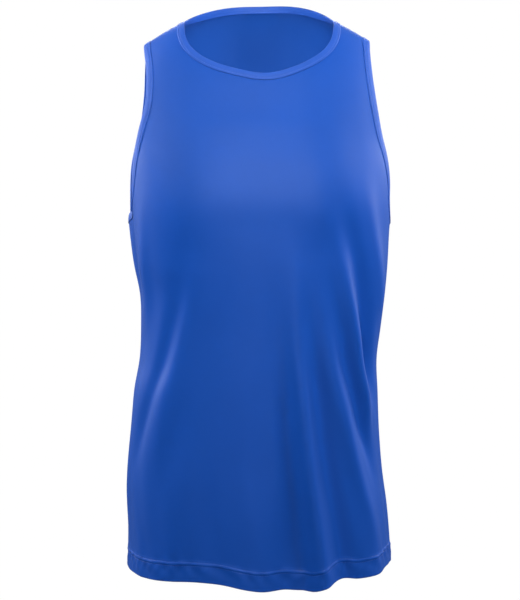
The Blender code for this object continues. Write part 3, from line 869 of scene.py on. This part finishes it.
def stitchPattern():
    segments, rings = stitchMake["segments"], stitchMake["rings"]
    bpy.ops.object.select_all(action="DESELECT")
    bpy.ops.mesh.primitive_uv_sphere_add(segments=segments, ring_count=rings, radius=0.5)
    pattern = bpy.context.active_object
    corners = np.array([vert.co for vert in pattern.data.vertices])
    sides = [list(face.vertices) for face in pattern.data.polygons]
    bpy.data.objects.remove(pattern, do_unlink=True)
    return corners[:, [2, 0, 1]] * (stitchMake["length"], stitchMake["width"], stitchMake["height"]), sides


def readAlong(along, values, wanted):
    return np.stack([np.interp(wanted, along, values[:, i]) for i in range(3)], axis=1)


def makeStitching(name, rows):
    # Each row is a closed line of places with the way out of the cloth, and one small stitch
    # is copied along it.
    pattern, sides = stitchPattern()
    corners, faces = [], []
    for points, normals in rows:
        points, normals = np.concatenate([points, points[:1]]), np.concatenate([normals, normals[:1]])
        steps = np.linalg.norm(np.diff(points, axis=0), axis=1)
        along = np.concatenate([[0], np.cumsum(steps)])
        count = int(along[-1] / stitchMake["pitch"])
        wanted = (np.arange(count) + 0.5) * along[-1] / count
        place = readAlong(along, points, wanted)
        way = unit(readAlong(along, points, wanted + stitchMake["lookAhead"]) - place)
        up = unit(readAlong(along, normals, wanted))
        side = unit(np.cross(up, way))
        up = np.cross(way, side)
        for spot, a, b, c in zip(place, way, side, up):
            start = len(corners) * len(pattern)
            corners.append(spot + pattern[:, :1] * a + pattern[:, 1:2] * b + pattern[:, 2:] * c)
            faces += [[start + n for n in face] for face in sides]
    mesh = bpy.data.meshes.new(name)
    mesh.from_pydata(np.concatenate(corners), [], faces)
    mesh.shade_smooth()
    mesh.materials.append(materials["thread"])
    piece = bpy.data.objects.new(name, mesh)
    bpy.context.scene.collection.objects.link(piece)
    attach(piece, "root")
    print(name, len(corners), "stitches")


def hemStitchRows():
    rows = []
    for up in hemMake["needleRows"]:
        line, out = [], []
        for face, edges in ((front, frontEdges), (back, backEdges)):
            turn = edges["turns"][0]
            drop = edges["hem"] - up
            relief = hemRelief(up, roundBody(face, turn)) + stitchMake["lift"]
            points = clothPoints(face, turn, drop, relief)
            normals = outwardNormals(face, turn, drop)
            line.append(points if face is front else points[::-1])
            out.append(normals if face is front else normals[::-1])
        rows.append((np.concatenate(line), np.concatenate(out)))
    return rows


def bindingStitchRow(loop):
    points, normals, off = loop
    w, h = bindingSection(bindingMake["armWidth"])
    outerFace = slice(bindingMake["faceSteps"])
    height = np.interp(bindingMake["needle"], w[outerFace], h[outerFace])
    height += bindingMake["midHeight"] + stitchMake["lift"]
    return [(points + off * bindingMake["needle"] + normals * height, normals)]


makeStitching("hemStitching", hemStitchRows())
makeStitching("neckStitching", bindingStitchRow(neckLoop))
makeStitching("armholeStitchingRight", bindingStitchRow(rightLoop))
makeStitching("armholeStitchingLeft", bindingStitchRow(leftLoop))
print("stitching is made")


stageSetup = dict(
    floorHeight=-1.46, floorRadius=2.8, floorCorners=96, floorColour=(0.8, 0.8, 0.8, 1), floorGlow=0.6,
    domeRadius=7.0, domeSegments=64, domeRings=32, domeColour=(0, 0, 0, 1), domeGlow=1.0,
    roughness=0.9, glowColour=(1, 1, 1, 1), worldColour=(0.9, 0.95, 1, 1), worldStrength=0.08,
)


def plainMaterial(name, colour, glow):
    tree = Tree(name)
    tree.shader.inputs["Base Color"].default_value = colour
    tree.shader.inputs["Roughness"].default_value = stageSetup["roughness"]
    tree.shader.inputs["Emission Color"].default_value = stageSetup["glowColour"]
    tree.shader.inputs["Emission Strength"].default_value = glow
    return tree.material


def makeStage():
    bpy.ops.object.select_all(action="DESELECT")
    bpy.ops.mesh.primitive_circle_add(
        vertices=stageSetup["floorCorners"], radius=stageSetup["floorRadius"], fill_type="NGON",
        location=(0, 0, stageSetup["floorHeight"]),
    )
    floor = bpy.context.active_object
    floor.name = "floor"
    pale = plainMaterial("paleFloor", stageSetup["floorColour"], stageSetup["floorGlow"])
    floor.data.materials.append(pale)
    bpy.ops.object.select_all(action="DESELECT")
    bpy.ops.mesh.primitive_uv_sphere_add(
        segments=stageSetup["domeSegments"], ring_count=stageSetup["domeRings"],
        radius=stageSetup["domeRadius"],
    )
    dome = bpy.context.active_object
    dome.name = "backdrop"
    white = plainMaterial("whiteBackdrop", stageSetup["domeColour"], stageSetup["domeGlow"])
    dome.data.materials.append(white)
    for sight in ("visible_diffuse", "visible_glossy", "visible_transmission", "visible_shadow"):
        setattr(dome, sight, False)
        setattr(floor, sight, False)


# Area lamps: sizes in metres, power in watts, spread in degrees. A lamp without gloss lights
# the cloth but leaves no highlight on it.
Lamp = namedtuple("Lamp", "place target size power spread gloss")
lamps = dict(
    key=Lamp((0.0, -1.9, 0.55), (0, 0, -0.02), 0.9, 14.4, 110, True),
    top=Lamp((0.0, -1.25, 1.4), (0, 0, -0.1), 0.9, 2.5, 180, True),
    leftSide=Lamp((1.8, -0.7, 0.8), (0.1, 0, -0.05), 0.8, 2.7, 60, True),
    leftFill=Lamp((1.8, -0.7, 0.6), (0.1, 0, -0.15), 0.8, 2.9, 60, False),
    rightSide=Lamp((-1.8, -0.7, 0.8), (-0.1, 0, -0.05), 0.8, 4.9, 60, False),
    leftRim=Lamp((1.7, 0.8, 0.5), (0.1, 0, -0.1), 1.0, 40, 180, True),
    rightRim=Lamp((-1.7, 0.8, 0.5), (-0.1, 0, -0.1), 1.0, 44, 180, True),
    rear=Lamp((0.0, 1.9, 0.8), (0, 0, -0.25), 1.2, 30, 180, True),
    inner=Lamp((-0.02, -0.02, -0.24), (-0.01, 0.06, 0.0), 0.1, 0.5, 180, False),
)


def makeLights():
    for name, lamp in lamps.items():
        light = bpy.data.lights.new(name, "AREA")
        light.energy = lamp.power
        light.size = lamp.size
        light.spread = radians(lamp.spread)
        made = bpy.data.objects.new(name, light)
        made.location = lamp.place
        aimAt(made, lamp.target)
        made.visible_camera = False
        made.visible_glossy = lamp.gloss
        bpy.context.scene.collection.objects.link(made)
    world = bpy.data.worlds.new("studio")
    world.use_nodes = True
    background = world.node_tree.nodes["Background"]
    background.inputs["Color"].default_value = stageSetup["worldColour"]
    background.inputs["Strength"].default_value = stageSetup["worldStrength"]
    bpy.context.scene.world = world
    bpy.context.scene.view_settings.view_transform = "Standard"


makeStage()
makeLights()
print("stage and lights are ready")
